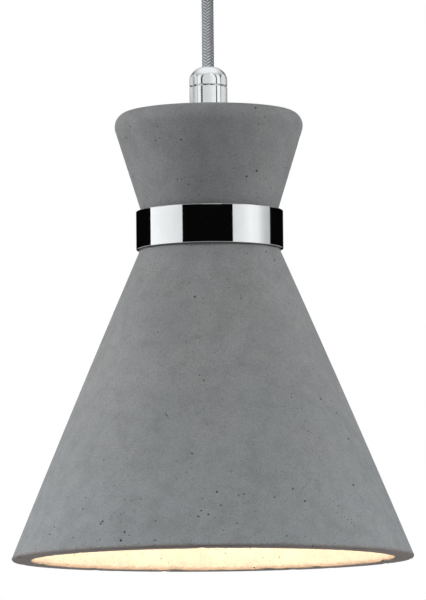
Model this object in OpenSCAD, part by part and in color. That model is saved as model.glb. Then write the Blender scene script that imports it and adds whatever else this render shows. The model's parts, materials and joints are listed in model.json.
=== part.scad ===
// Concrete pendant light: an hourglass shade on a braided cord, with a chromed band round its waist.
// The origin is the middle of the ceiling bracket's upper face, and the light hangs along -Z.
// Threads are drawn as plain cylinders at their own diameters.

/* [Shade] */
// Outer diameter of the shade's lower rim
rim_d = 200; // [190:1:210]
// Height of the shade, from the lower rim to the top face
shade_h = 224; // [220:1:230]
// Largest diameter of the flared top
top_d = 94; // [90:1:98]
// Radius of the rounded upper edge
top_edge = 7.2; // [5:0.1:9]
// How far the upper flare leans out from the vertical, in degrees
flare = 17.3; // [16:0.1:18]
// Wall of the lower cone, measured level
wall = 10; // [8:0.5:11]
// Thickness of the top
top_wall = 14; // [12:1:16]
// Diameter of the neck bore that holds the lampholder
neck_bore = 52; // [48:1:54]
// How far the lower cone swells past a straight side
swell = 0.5; // [0:0.1:1]

/* [Waist band] */
// Outer diameter of the band
band_d = 73.4; // [73:0.2:75]
// Width of the band
band_w = 19.2; // [16:0.2:20]
// Thickness of the band's strip
band_t = 1; // [0.8:0.1:1.2]
// Height of the band's lower edge above the rim
band_low = 155; // [154:0.5:156]

/* [Cord] */
// Diameter of the braided cord
cord_d = 5.8; // [5.4:0.1:6]
// Free length between the mouths of the two cord grips
cord_free = 40; // [36:1:60]
// How far the cord swings at the ceiling, in degrees
swing = 25; // [5:1:25]

/* [Cord grip] */
// Diameter over the rounded corners of the grip
grip_d = 19; // [18.4:0.2:20]
// Width across the flats
grip_flats = 17.7; // [17.5:0.1:18]
// Radius of the nut's dome
dome_r = 7; // [6:0.5:7.5]

/* [Canopy] */
// Diameter of the ceiling cup
canopy_d = 100; // [98:1:120]
// Height of the ceiling cup
canopy_h = 25; // [25:1:40]
// Wall of the ceiling cup
canopy_t = 1; // [0.8:0.1:1.2]
// Distance between the bracket's two fixing slots
slot_pitch = 66; // [66:1:68]

/* [Bulb] */
// Largest diameter of the bulb
bulb_d = 60; // [50:1:60]
// Length of the bulb with its cap
bulb_len = 104; // [100:1:110]

/* [Hidden] */
$fn = 96;

// Cord grip, measured from the face that it sits on towards its mouth
body_h = 11.6;
spigot_r = 7.4;
spigot_top = 16.6;
nut_low = 12.2;
grip_h = 21.5;
tube_r = 4.95;
tube_bore = 3.5;
thread_r = 5;
thread_depth = 8;
insert_r = 5.5;
pivot_depth = 1.5;
pivot_u = grip_h - pivot_depth;
mouth_r = 3.4;
lip_r = mouth_r + pivot_depth * tan(swing) + 0.3;
grip_turn = 3.3;
washer_t = 1;

// Heights down the light
cord_r = cord_d / 2;
ceiling_base = -canopy_h - washer_t;
shade_base = ceiling_base - 2 * grip_h - cord_free;
shade_top = shade_base - washer_t;
rim_z = shade_top - shade_h;
pivot_top = ceiling_base - pivot_u;
pivot_low = shade_base + pivot_u;
swing_gap = cord_r * sin(swing) + 0.3;
tilt_gap = 0.8;

// Stations down the taut cord, as parts of its length from the upper pivot
cord_route = [0, 0.25, 0.5, 0.75, 1];

// Shade outline
rim_r = rim_d / 2;
edge_r = top_d / 2 - top_edge;
flare_x = edge_r + top_edge * cos(flare);
flare_z = shade_h - top_edge - top_edge * sin(flare);
band_high = band_low + band_w;
neck_high = flare_x - (flare_z - band_high) * tan(flare);
neck_low = 34.8;
seat_r = 34.3;
bore_r = neck_bore / 2;
cone_slope = (rim_r - neck_low) / band_low;
bore_low = (rim_r - wall - bore_r) / cone_slope;
bore_high = shade_h - top_wall;
rim_round = 1.2;

// Lampholder and bulb, measured up from the rim
holder_top = bore_high - 6.5;
holder_low = 141;
holder_r = 20.5;
skirt_low = 176;
shoulder = 190;
sleeve_top = 186;
socket_r = 13.5;
core_low = 171.3;
core_high = 183;
pip_top = 168;
shell_r = 12.9;
glass_t = 0.8;
cap_len = 27;
core_wire_r = 1.1;

function arc(cx, cy, r, from, to, n) =
    [for (i = [0 : n]) let (a = from + (to - from) * i / n) [cx + r * cos(a), cy + r * sin(a)]];

// A tube of flat sides along points that never run straight along Y
function unit(v) = v / norm(v);
function heading(p, i) = unit(p[min(i + 1, len(p) - 1)] - p[max(i - 1, 0)]);
function across(h) = unit(cross(h, [0, 1, 0]));
function ring(c, h, r, sides) =
    let (a = across(h), b = cross(h, a))
    [for (k = [0 : sides - 1]) c + r * cos(360 * k / sides) * a + r * sin(360 * k / sides) * b];
module sweep(path, r, sides) {
    last = len(path) - 1;
    points = [for (i = [0 : last]) each ring(path[i], heading(path, i), r, sides)];
    walls = [for (i = [0 : last - 1], k = [0 : sides - 1])
        [i * sides + k, i * sides + (k + 1) % sides,
         (i + 1) * sides + (k + 1) % sides, (i + 1) * sides + k]];
    start = [for (k = [sides - 1 : -1 : 0]) k];
    finish = [for (k = [0 : sides - 1]) last * sides + k];
    polyhedron(points = points, faces = concat([start], walls, [finish]), convexity = 4);
}
module pipe(r, bore, low, high) {
    translate([0, 0, low]) difference() {
        cylinder(r = r, h = high - low);
        translate([0, 0, -1]) cylinder(r = bore, h = high - low + 2);
    }
}
module hex_nut(flats, bore, low, high) {
    translate([0, 0, low]) difference() {
        linear_extrude(high - low) circle(r = flats / 2 / cos(30), $fn = 6);
        translate([0, 0, -1]) cylinder(r = bore, h = high - low + 2);
    }
}
module bead(x, y, z, r, h) { translate([x, y, z]) cylinder(r = r, h = h); }

// ---------- Cord grip: base at z = 0, mouth at z = grip_h ----------
module grip_hex(low, high) {
    translate([0, 0, low]) rotate(grip_turn)
        linear_extrude(high - low) circle(r = grip_flats / 2 / cos(30), $fn = 6);
}
module grip_body_shape() {
    color("gainsboro") difference() {
        union() {
            intersection() {
                cylinder(r = grip_d / 2, h = body_h);
                grip_hex(-1, body_h + 1);
            }
            cylinder(r = spigot_r, h = spigot_top);
        }
        translate([0, 0, -1]) cylinder(r = thread_r, h = thread_depth + 2);
        translate([0, 0, thread_depth]) cylinder(r = insert_r + 0.1, h = spigot_top);
    }
}
module grip_nut_shape() {
    r = grip_d / 2;
    dome_x = r - dome_r;
    lip_a = acos((lip_r - dome_x) / dome_r);
    dome_z = grip_h - dome_r * sin(lip_a);
    outline = concat(
        [[spigot_r + 0.2, nut_low], [r, nut_low]],
        arc(dome_x, dome_z, dome_r, 0, lip_a, 12),
        [[mouth_r, pivot_u], [mouth_r, pivot_u - 1], [insert_r + 0.5, 17.2], [spigot_r + 0.2, 17.2]]);
    color("gainsboro") intersection() {
        rotate_extrude() polygon(outline);
        grip_hex(nut_low - 1, grip_h + 1);
    }
}
module grip_insert_shape() {
    color("dimgray") difference() {
        union() {
            translate([0, 0, thread_depth + 0.3]) cylinder(r = insert_r, h = 7.5);
            translate([0, 0, thread_depth + 7.8]) cylinder(r1 = insert_r, r2 = 4.4, h = 0.8);
        }
        cylinder(r = cord_r + 0.05, h = grip_h);
    }
}
module at_ceiling() { translate([0, 0, ceiling_base]) mirror([0, 0, 1]) children(); }
module at_shade() { translate([0, 0, shade_base]) children(); }
module from_rim() { translate([0, 0, rim_z]) children(); }

// ---------- Ceiling fitting ----------
bracket_l = canopy_d - 5;
bracket_w = 18;
strip_t = 1.5;
ear_drop = 12;
screw_z = -8;
slot_w = 4.5;
slot_l = 10;
module ceiling_bracket() {
    color("silver") difference() {
        union() {
            translate([-bracket_l / 2, -bracket_w / 2, -strip_t]) cube([bracket_l, bracket_w, strip_t]);
            for (side = [-1, 1])
                translate([side * (bracket_l / 2 - strip_t / 2) - strip_t / 2, -6, -ear_drop])
                    cube([strip_t, 12, ear_drop - strip_t / 2]);
        }
        for (side = [-1, 1]) {
            translate([side * slot_pitch / 2, 0, -strip_t - 1]) {
                for (end = [-1, 1])
                    translate([end * (slot_l - slot_w) / 2, 0, 0]) cylinder(d = slot_w, h = strip_t + 2);
                translate([-(slot_l - slot_w) / 2, -slot_w / 2, 0])
                    cube([slot_l - slot_w, slot_w, strip_t + 2]);
            }
            translate([side * bracket_l / 2, 0, screw_z]) rotate([0, 90, 0])
                cylinder(r = 2, h = 8, center = true);
        }
    }
}
module canopy() {
    r = canopy_d / 2;
    round_r = 4;
    outline = concat(
        [[tube_r + 0.25, -canopy_h]],
        arc(r - round_r, -canopy_h + round_r, round_r, -90, 0, 8),
        [[r, 0], [r - canopy_t, 0]],
        arc(r - round_r, -canopy_h + round_r, round_r - canopy_t, 0, -90, 8),
        [[tube_r + 0.25, -canopy_h + canopy_t]]);
    color("gainsboro") difference() {
        rotate_extrude() polygon(outline);
        translate([0, 0, screw_z]) rotate([0, 90, 0]) cylinder(r = 2.2, h = canopy_d + 10, center = true);
    }
}
module canopy_screws() {
    color("gainsboro") for (side = [0, 180]) rotate(side) translate([0, 0, screw_z]) rotate([0, 90, 0]) {
        difference() {
            union() {
                translate([0, 0, canopy_d / 2 - 7]) cylinder(r = 1.95, h = 8);
                translate([0, 0, canopy_d / 2 + 0.1]) cylinder(r = 3.5, h = 2);
            }
            translate([-5, -0.4, canopy_d / 2 + 1.3]) cube([10, 0.8, 2]);
        }
    }
}
block_x = -15;
block = [18, 18, 11.2];
pole_y = 4.8;
pole_z = -7;
module terminal_block() {
    color("white") difference() {
        translate([block_x - block.x / 2, -block.y / 2, -strip_t - 0.1 - block.z]) cube(block);
        for (side = [-1, 1]) {
            translate([block_x, side * pole_y, pole_z]) rotate([0, 90, 0])
                cylinder(r = 2.3, h = block.x + 2, center = true);
            for (x = [-5, 5]) bead(block_x + x, side * pole_y, pole_z - 8, 1.5, 8);
        }
        translate([block_x - block.x / 2 - 1, -0.75, -strip_t - 0.1 - block.z - 1]) cube([block.x + 2, 1.5, 5]);
    }
}
module terminal_sleeves() {
    color("goldenrod") for (side = [-1, 1]) difference() {
        translate([block_x, side * pole_y, pole_z]) rotate([0, 90, 0]) cylinder(r = 2.2, h = 15, center = true);
        translate([block_x, side * pole_y, pole_z]) rotate([0, 90, 0]) cylinder(r = 1.3, h = 18, center = true);
        for (x = [-5, 5]) bead(block_x + x, side * pole_y, pole_z - 4, 1, 4);
    }
}
module terminal_screws() {
    color("silver") for (side = [-1, 1], x = [-5, 5]) difference() {
        union() {
            bead(block_x + x, side * pole_y, pole_z - 3.5, 0.95, 2.2);
            bead(block_x + x, side * pole_y, pole_z - 5, 1.4, 1.6);
        }
        translate([block_x + x - 2, side * pole_y - 0.25, pole_z - 5.5]) cube([4, 0.5, 1]);
    }
}
module ceiling_washer() { color("dimgray") pipe(8.6, thread_r + 0.1, ceiling_base, -canopy_h); }
module ceiling_nipple() { color("silver") pipe(tube_r, tube_bore, ceiling_base - 7.5, -19); }
module ceiling_lock_nut() { color("silver") hex_nut(14, thread_r, -canopy_h + canopy_t, -20.5); }
module ceiling_grip_body() { at_ceiling() grip_body_shape(); }
module ceiling_grip_insert() { at_ceiling() grip_insert_shape(); }
module ceiling_grip_nut() { at_ceiling() grip_nut_shape(); }
head_top = -16;
stub_low = pivot_top + swing_gap;
stub_high = pivot_top + 3.4;
module cord_head() { color("slategray") bead(0, 0, stub_high + 0.05, cord_r, head_top - stub_high - 0.05); }
module ceiling_core(side) {
    bend = [[0, side * 1.4, head_top], [0, side * 1.4, head_top + 0.8], [-0.3, side * 1.8, -13.6],
            [-1, side * 2.6, -11.5], [-2.4, side * 3.7, -9.4], [-4.2, side * 4.5, -7.9],
            [-6, side * pole_y, -7.2], [-8, side * pole_y, pole_z], [-12, side * pole_y, pole_z]];
    sweep(bend, core_wire_r, 8);
}
module ceiling_core_brown() { color("saddlebrown") ceiling_core(-1); }
module ceiling_core_blue() { color("royalblue") ceiling_core(1); }

// ---------- Cord ----------
module cord_stub() { color("slategray") bead(0, 0, stub_low, cord_r, stub_high - stub_low); }
module cord() {
    drop = pivot_top - pivot_low;
    color("slategray") sweep([for (part = cord_route) [0, 0, pivot_top - drop * part]], cord_r, 12);
}

// ---------- Shade, band and grip ----------
module grip_nut() { at_shade() grip_nut_shape(); }
module grip_body() { at_shade() grip_body_shape(); }
module grip_insert() { at_shade() grip_insert_shape(); }
module top_washer() { color("dimgray") pipe(8.6, thread_r + 0.1, shade_top, shade_base); }
module threaded_tube() { color("silver") pipe(tube_r, tube_bore, rim_z + holder_top - 6.5, shade_base + 7.5); }
module load_washer() { color("silver") from_rim() pipe(20, thread_r + 0.2, bore_high - 2, bore_high); }
module lock_nut() { color("silver") from_rim() hex_nut(14, thread_r, bore_high - 6, bore_high - 2); }
module shade() {
    lean = atan(cone_slope);
    cone = [for (i = [0 : 10]) let (t = i / 10)
        [rim_r + (neck_low - rim_r) * t + 4 * swell * t * (1 - t), rim_round * (1 - t) + band_low * t]];
    outline = concat(
        arc(rim_r - rim_round, rim_round, rim_round, -90, 0, 5),
        [for (i = [1 : 10]) cone[i]],
        [[seat_r, band_low + 0.6], [seat_r, band_high - 0.6], [neck_high, band_high]],
        arc(edge_r, shade_h - top_edge, top_edge, -flare, 90, 16),
        [[thread_r + 0.4, shade_h], [thread_r + 0.4, bore_high]],
        arc(bore_r - 3, bore_high - 3, 3, 90, 0, 5),
        [[bore_r, bore_low]],
        arc(rim_r - wall + rim_round, rim_round, rim_round, 180 + lean, 270, 5));
    color("gray") from_rim() rotate_extrude($fn = 128) polygon(outline);
}
seam = 0.4;
module waist_band() {
    r = band_d / 2;
    corner = 0.3;
    outline = [[r - band_t, band_low + corner], [r - band_t + corner, band_low], [r - corner, band_low],
               [r, band_low + corner], [r, band_high - corner], [r - corner, band_high],
               [r - band_t + corner, band_high], [r - band_t, band_high - corner]];
    color("gainsboro") from_rim() difference() {
        rotate_extrude() polygon(outline);
        translate([-seam / 2, 0, band_low - 1]) cube([seam, band_d, band_w + 2]);
    }
}
module band_tape() {
    color("white") from_rim() difference() {
        pipe(band_d / 2 - band_t - 0.02, seat_r + 0.02, band_low + 2, band_high - 2);
        translate([-seam / 2, 0, band_low]) cube([seam, band_d, band_w]);
    }
}

// ---------- Lampholder ----------
tail_low = 192;
module cord_tail() {
    color("slategray") bead(0, 0, rim_z + tail_low, cord_r, pivot_low - tilt_gap - rim_z - tail_low);
}
module holder_cap() {
    t = 2;
    outline = [[thread_r, holder_top], [8, holder_top], [8, shoulder + 6], [10, shoulder + 4.5],
               [holder_r - 3, shoulder], [holder_r, shoulder - 3], [holder_r, skirt_low],
               [holder_r - t, skirt_low], [holder_r - t, shoulder - 4], [holder_r - 3 - t / 2, shoulder - t],
               [9, shoulder + 2.4], [6.5, shoulder + 3], [thread_r, shoulder + 4.5]];
    color("ivory") from_rim() rotate_extrude() polygon(outline);
}
module holder_sleeve() {
    outline = [[socket_r, holder_low], [holder_r - 0.8, holder_low], [holder_r, holder_low + 0.8],
               [holder_r, skirt_low - 0.3], [18.3, skirt_low - 0.3], [18.3, sleeve_top],
               [16.3, sleeve_top], [16.3, core_low - 0.2], [socket_r, core_low - 0.2]];
    color("ivory") from_rim() rotate_extrude() polygon(outline);
}
module holder_core() {
    color("whitesmoke") from_rim() difference() {
        union() {
            bead(0, 0, core_low, 16.1, core_high - core_low);
            bead(0, 0, core_low - 1.2, 11.5, 2);
        }
        for (side = [-1, 1]) bead(side * 9, 0, core_high - 5, 1.6, 6);
    }
}
module centre_contact() {
    color("goldenrod") from_rim() {
        translate([-2.5, -2.5, pip_top + 0.1]) cube([9.5, 5, 0.5]);
        translate([6.5, -2.5, pip_top + 0.1]) cube([0.5, 5, core_low - 1.2 - pip_top - 0.1]);
    }
}
module side_contact() {
    color("goldenrod") from_rim()
        translate([-socket_r + 0.2, -2, core_low - 12]) cube([0.3, 4, 11.7]);
}
module holder_screws() {
    color("goldenrod") from_rim() for (side = [-1, 1]) difference() {
        union() {
            bead(side * 9, 0, core_high - 4.8, 1.5, 5);
            bead(side * 9, 0, core_high + 0.1, 2.8, 1.7);
        }
        translate([side * 9 - 4, -0.4, core_high + 1]) cube([8, 0.8, 2]);
    }
}
module holder_wire(side) {
    tip = core_high + 3;
    bend = [[side * 1.4, 0, tail_low], [side * 1.4, 0, tail_low - 0.8], [side * 1.8, 0, tail_low - 2.2],
            [side * 3.2, 0, tail_low - 3.9], [side * 5.2, 0, tip + 0.8], [side * 7.2, 0, tip], [side * 9.8, 0, tip]];
    from_rim() sweep(bend, core_wire_r, 8);
}
module holder_wire_brown() { color("saddlebrown") holder_wire(-1); }
module holder_wire_blue() { color("royalblue") holder_wire(1); }

// ---------- Bulb: depth is measured down from the tip of its contact ----------
module bulb_frame() { translate([0, 0, rim_z + pip_top]) mirror([0, 0, 1]) children(); }
function bulb_outline(inset) =
    let (r = bulb_d / 2 - inset,
         neck = shell_r - 0.7 - inset,
         centre = bulb_len - bulb_d / 2,
         neck_end = cap_len + 4)
    concat(
        [[neck, cap_len - 1.5], [neck, cap_len + 1]],
        [for (i = [1 : 10]) let (t = i / 11, ease = t * t * (3 - 2 * t))
            [neck + (r - neck) * ease, neck_end + (centre - neck_end) * t]],
        arc(0, centre, r, 0, 90, 16));
module bulb_pip() {
    color("silver") bulb_frame() rotate_extrude()
        polygon(concat([[0, 1.3]], arc(0, 2.4, 2.4, -90, -27, 6)));
}
module bulb_insulator() {
    color([0.1, 0.1, 0.12]) bulb_frame() translate([0, 0, 1.35]) cylinder(r1 = 4.6, r2 = 9.2, h = 3);
}
module bulb_cap() {
    outline = [[0, 4.4], [9.6, 4.4], [shell_r, 7], [shell_r, cap_len - 0.4], [shell_r - 0.4, cap_len],
               [shell_r - 0.65, cap_len], [shell_r - 0.65, 8], [0, 8]];
    color("silver") bulb_frame() rotate_extrude() polygon(outline);
}
module bulb_envelope() {
    outer = bulb_outline(0);
    inner = bulb_outline(glass_t);
    last = len(inner) - 1;
    color([1, 0.97, 0.9, 0.6]) bulb_frame() rotate_extrude()
        polygon(concat(outer, [for (i = [last : -1 : 0]) inner[i]]));
}
stem_low = 52;
module bulb_stem() {
    color([0.9, 0.95, 1, 0.6]) bulb_frame() rotate_extrude()
        polygon([[0, 8.1], [9, 8.1], [9, 28], [4, 33], [2.2, 42], [2.6, stem_low], [0, stem_low + 1.5]]);
}
module bulb_filaments() {
    reach = 34;
    color("orange") bulb_frame() for (turn = [45 : 90 : 315]) rotate(turn) {
        translate([6.5, 0, stem_low]) rotate([0, 12, 0]) cylinder(r = 0.9, h = reach);
        translate([2.8, 0, stem_low - 1.2]) rotate([0, 75, 0]) cylinder(r = 0.35, h = 4.2);
    }
}

ceiling_bracket();
canopy();
canopy_screws();
terminal_block();
terminal_sleeves();
terminal_screws();
ceiling_washer();
ceiling_nipple();
ceiling_lock_nut();
ceiling_grip_body();
ceiling_grip_insert();
ceiling_grip_nut();
cord_head();
ceiling_core_brown();
ceiling_core_blue();
cord_stub();
cord();
grip_nut();
grip_body();
grip_insert();
top_washer();
threaded_tube();
load_washer();
lock_nut();
shade();
waist_band();
band_tape();
cord_tail();
holder_cap();
holder_sleeve();
holder_core();
centre_contact();
side_contact();
holder_screws();
holder_wire_brown();
holder_wire_blue();
bulb_pip();
bulb_insulator();
bulb_cap();
bulb_envelope();
bulb_stem();
bulb_filaments();
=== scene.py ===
"""Looks of a concrete pendant light: an hourglass shade with a chromed waist band, hung by a braided cord
between two chromed cord grips from a round ceiling cup, with its lampholder and its lit bulb inside.

Outlines are in millimetres, as (radius, height) above the shade's rim or above the seat that is named.
"""
import json
import math

import bmesh
import bpy
from mathutils import Matrix, Quaternion, Vector, noise

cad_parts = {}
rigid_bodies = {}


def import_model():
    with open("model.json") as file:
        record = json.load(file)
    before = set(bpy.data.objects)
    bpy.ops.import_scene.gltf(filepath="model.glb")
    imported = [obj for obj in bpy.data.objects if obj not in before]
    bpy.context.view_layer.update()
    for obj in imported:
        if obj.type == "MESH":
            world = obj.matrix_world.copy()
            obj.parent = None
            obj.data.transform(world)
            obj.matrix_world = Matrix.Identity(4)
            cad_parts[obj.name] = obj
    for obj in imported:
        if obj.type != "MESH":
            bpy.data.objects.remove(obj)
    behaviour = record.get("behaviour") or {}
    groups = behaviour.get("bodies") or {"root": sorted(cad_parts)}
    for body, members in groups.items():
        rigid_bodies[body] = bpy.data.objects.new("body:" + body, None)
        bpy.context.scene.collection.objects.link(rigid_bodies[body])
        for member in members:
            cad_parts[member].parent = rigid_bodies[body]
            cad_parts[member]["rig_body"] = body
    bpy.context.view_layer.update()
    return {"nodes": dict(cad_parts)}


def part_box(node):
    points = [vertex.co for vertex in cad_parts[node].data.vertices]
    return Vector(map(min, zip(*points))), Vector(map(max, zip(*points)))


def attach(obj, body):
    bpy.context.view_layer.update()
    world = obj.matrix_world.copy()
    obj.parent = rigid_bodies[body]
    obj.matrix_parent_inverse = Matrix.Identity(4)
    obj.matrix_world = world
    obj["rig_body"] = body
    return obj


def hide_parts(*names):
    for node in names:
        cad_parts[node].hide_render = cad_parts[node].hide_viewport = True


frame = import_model()

# --- Sizes and places ---
MM = 0.001
TAU = 2 * math.pi


def span(node):
    """The lowest and the highest point of a CAD node, in metres."""
    return [corner.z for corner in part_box(node)]


def half_width(node):
    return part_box(node)[1].x / MM


RIM_Z, SHADE_TOP = span("shade")
SHADE_H = (SHADE_TOP - RIM_Z) / MM
RIM_R = half_width("shade")
BAND_LOW, BAND_HIGH = [(z - RIM_Z) / MM for z in span("waist_band")]
BAND_R = half_width("waist_band")
GRIP_SEAT = span("grip_body")[0]
CEILING_SEAT = span("ceiling_grip_body")[1]
CORD_LOW, CORD_HIGH = span("cord")
CUP_R = half_width("canopy")
CUP_H = -span("canopy")[0] / MM
PIP_Z = span("bulb_pip")[1]

# Shade
WALL = 10.0
SWELL = 0.5
NECK_LOW = 34.8
SEAT_R = 34.3
FLARE = math.radians(17.3)
TOP_EDGE = 7.2
TOP_R = 47.0
RIM_ROUND = 1.2
BORE_R = 26.0
BORE_HIGH = SHADE_H - 14.0
TUBE_HOLE = 5.4
BAND_T = 1.0
BAND_SEAM = 0.4
KNOCK_AT = (46, 0, 209.5)

# Cord grips
GRIP_R = 9.5
GRIP_FLATS = 17.7
GRIP_TURN = math.radians(3.3)
GRIP_H = 21.5
BODY_H = 11.6
SPIGOT_R = 7.4
SPIGOT_TOP = 16.6
NUT_LOW = 12.2
DOME_R = 7.0
LIP_R = 4.4
MOUTH_R = 3.4
THREAD_R = 5.0
THREAD_DEPTH = 8.0
INSERT_R = 5.5
INSERT_BORE = 2.95

# Threaded tubes and washers
METRIC_PITCH = 1.0
EDISON_PITCH = 3.629
TUBE_R = 4.95
TUBE_BORE = 3.5
WASHER_R = 8.6
WASHER_BORE = 5.1

# Cord
CARRIERS = 8
LAY = 12.0
SHEATH_R = 2.4
CORE_R = 1.1
COPPER_R = 0.75


# --- Node trees ---
def put(tree, slot, value):
    """Gives an input slot a value, or a link when the value comes from another node."""
    if isinstance(value, Field):
        tree.links.new(value.socket, slot)
    elif isinstance(value, bpy.types.NodeSocket):
        tree.links.new(value, slot)
    else:
        slot.default_value = value


def add(tree, kind, inputs=(), **settings):
    """A new node with its settings and its inputs."""
    node = tree.nodes.new(kind)
    for name, value in settings.items():
        setattr(node, name, value)
    for name, value in dict(inputs).items():
        put(tree, node.inputs[name], value)
    return node


class Field:
    """A number carried by a node socket, so that a node tree can be written as a sum."""

    def __init__(self, tree, socket):
        self.tree = tree
        self.socket = socket

    def math(self, operation, *others):
        node = add(self.tree, "ShaderNodeMath", operation=operation)
        for slot, value in zip(node.inputs, (self, *others)):
            put(self.tree, slot, value)
        return Field(self.tree, node.outputs[0])

    def __add__(self, other):
        return self.math("ADD", other)

    def __sub__(self, other):
        return self.math("SUBTRACT", other)

    def __mul__(self, other):
        return self.math("MULTIPLY", other)

    def __truediv__(self, other):
        return self.math("DIVIDE", other)

    def sin(self):
        return self.math("SINE")

    def cos(self):
        return self.math("COSINE")

    def clamped(self, low, high):
        return self.math("MAXIMUM", low).math("MINIMUM", high)

    def ranged(self, low, high, new_low=0.0, new_high=1.0):
        """The value moved from one range to another, smoothly and held at the ends."""
        ends = {"From Min": low, "From Max": high, "To Min": new_low, "To Max": new_high, "Value": self}
        node = add(self.tree, "ShaderNodeMapRange", ends, interpolation_type="SMOOTHSTEP")
        return Field(self.tree, node.outputs["Result"])


def xyz(tree, place):
    """The three parts of a vector, as fields."""
    parts = add(tree, "ShaderNodeSeparateXYZ", {"Vector": place})
    return [Field(tree, socket) for socket in parts.outputs]


def vector(tree, x, y, z):
    return add(tree, "ShaderNodeCombineXYZ", {"X": x, "Y": y, "Z": z}).outputs[0]


def geometry_tree(name, **sizes):
    """A Geometry Nodes tree with named sizes: the tree, the incoming geometry and the sizes as fields."""
    tree = bpy.data.node_groups.new(name, "GeometryNodeTree")
    tree.interface.new_socket("Geometry", in_out="INPUT", socket_type="NodeSocketGeometry")
    for label, value in sizes.items():
        kind = "NodeSocketInt" if isinstance(value, int) else "NodeSocketFloat"
        tree.interface.new_socket(label, in_out="INPUT", socket_type=kind).default_value = value
    tree.interface.new_socket("Geometry", in_out="OUTPUT", socket_type="NodeSocketGeometry")
    entry = tree.nodes.new("NodeGroupInput")
    return tree, entry.outputs["Geometry"], {label: Field(tree, entry.outputs[label]) for label in sizes}


def close_tree(tree, geometry, material=None):
    """Ends a tree: instances made real, and the material set where the whole shape has one."""
    end = add(tree, "GeometryNodeRealizeInstances", {"Geometry": geometry}).outputs[0]
    if material:
        end = add(tree, "GeometryNodeSetMaterial", {"Geometry": end, "Material": material}).outputs[0]
    put(tree, tree.nodes.new("NodeGroupOutput").inputs[0], end)
    return tree


def grow(piece, tree, **sizes):
    """Runs a Geometry Nodes tree on a piece and keeps the result as its plain mesh."""
    maker = piece.modifiers.new("grow", "NODES")
    maker.node_group = tree
    for item in tree.interface.items_tree:
        if item.item_type == "SOCKET" and item.in_out == "INPUT" and item.name in sizes:
            maker[item.identifier] = sizes[item.name]
    return bake_modifiers(piece)


# --- Meshes ---
def bake_modifiers(piece):
    """Turns a piece's modifiers into its plain mesh."""
    evaluated = piece.evaluated_get(bpy.context.evaluated_depsgraph_get())
    shape = bpy.data.meshes.new_from_object(evaluated)
    piece.modifiers.clear()
    old = piece.data
    piece.data = shape
    shape.name = piece.name
    bpy.data.meshes.remove(old)
    return piece


def placed(name, data):
    """A new object in the scene."""
    thing = bpy.data.objects.new(name, data)
    bpy.context.scene.collection.objects.link(thing)
    return thing


def mesh_from(name, shape):
    """A mesh from a bmesh, with its faces turned outwards."""
    bmesh.ops.recalc_face_normals(shape, faces=shape.faces)
    mesh = bpy.data.meshes.new(name)
    shape.to_mesh(mesh)
    shape.free()
    return mesh


def new_piece(name, shape, material=None, crease=35.0):
    """A piece from a bmesh, smooth except at edges sharper than crease degrees."""
    mesh = mesh_from(name, shape)
    if material:
        mesh.materials.append(material)
    return smooth(placed(name, mesh), crease)


def broken_edges(piece, width, steps, crease):
    """Rounds the edges sharper than crease degrees, and keeps the result as the piece's mesh."""
    bevel = piece.modifiers.new("edge", "BEVEL")
    bevel.width = width * MM
    bevel.segments = steps
    bevel.limit_method = "ANGLE"
    bevel.angle_limit = math.radians(crease)
    bevel.harden_normals = True
    return bake_modifiers(piece)


def smooth(piece, crease=35.0):
    piece.data.shade_smooth()
    piece.data.set_sharp_from_angle(angle=math.radians(crease))
    return piece


def even_shading(piece):
    """Lets the large faces set the normals, so that a rounded edge doesn't bend the light on a flat one."""
    weigh = piece.modifiers.new("normals", "WEIGHTED_NORMAL")
    weigh.weight = 100
    weigh.keep_sharp = True
    return bake_modifiers(piece)


def joined(name, *pieces):
    """Several pieces made one, each keeping its own materials."""
    first, *others = pieces
    shape = bmesh.new()
    shape.from_mesh(first.data)
    for other in others:
        shift = len(first.data.materials)
        for material in other.data.materials:
            first.data.materials.append(material)
        for face in other.data.polygons:
            face.material_index += shift
        shape.from_mesh(other.data)
        bpy.data.objects.remove(other)
    shape.to_mesh(first.data)
    shape.free()
    first.name = first.data.name = name
    return first


def skin_rings(shape, rings, closed=True):
    """Joins rings of vertices with faces. A ring of one vertex is a pole."""
    sides = max(len(ring) for ring in rings)
    pairs = list(zip(rings, rings[1:]))
    if closed:
        pairs.append((rings[-1], rings[0]))
    for lower, upper in pairs:
        for i in range(sides):
            places = ((lower, i), (lower, i + 1), (upper, i + 1), (upper, i))
            corners = list(dict.fromkeys(ring[k % len(ring)] for ring, k in places))
            if len(corners) > 2:
                shape.faces.new(corners)


def round_the_axis(shape, points, z):
    """Vertices at one height from (radius in millimetres, angle) points."""
    return [shape.verts.new((r * MM * math.cos(a), r * MM * math.sin(a), z)) for r, a in points]


def lathe(name, outline, base, material, sides=128, down=False, crease=35.0):
    """A solid of revolution about the light's axis. base is the height of the outline's zero, in metres."""
    shape = bmesh.new()
    sign = -1 if down else 1
    rings = []
    for r, h in outline:
        turns = [TAU * i / sides for i in range(sides)] if r > 1e-6 else [0]
        rings.append(round_the_axis(shape, [(r, a) for a in turns], base + sign * h * MM))
    skin_rings(shape, rings)
    return new_piece(name, shape, material, crease)


def arc(cx, cy, r, start, end, steps):
    """Points along an arc, with its angles in degrees."""
    turns = [math.radians(start + (end - start) * i / steps) for i in range(steps + 1)]
    return [(cx + r * math.cos(a), cy + r * math.sin(a)) for a in turns]


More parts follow.
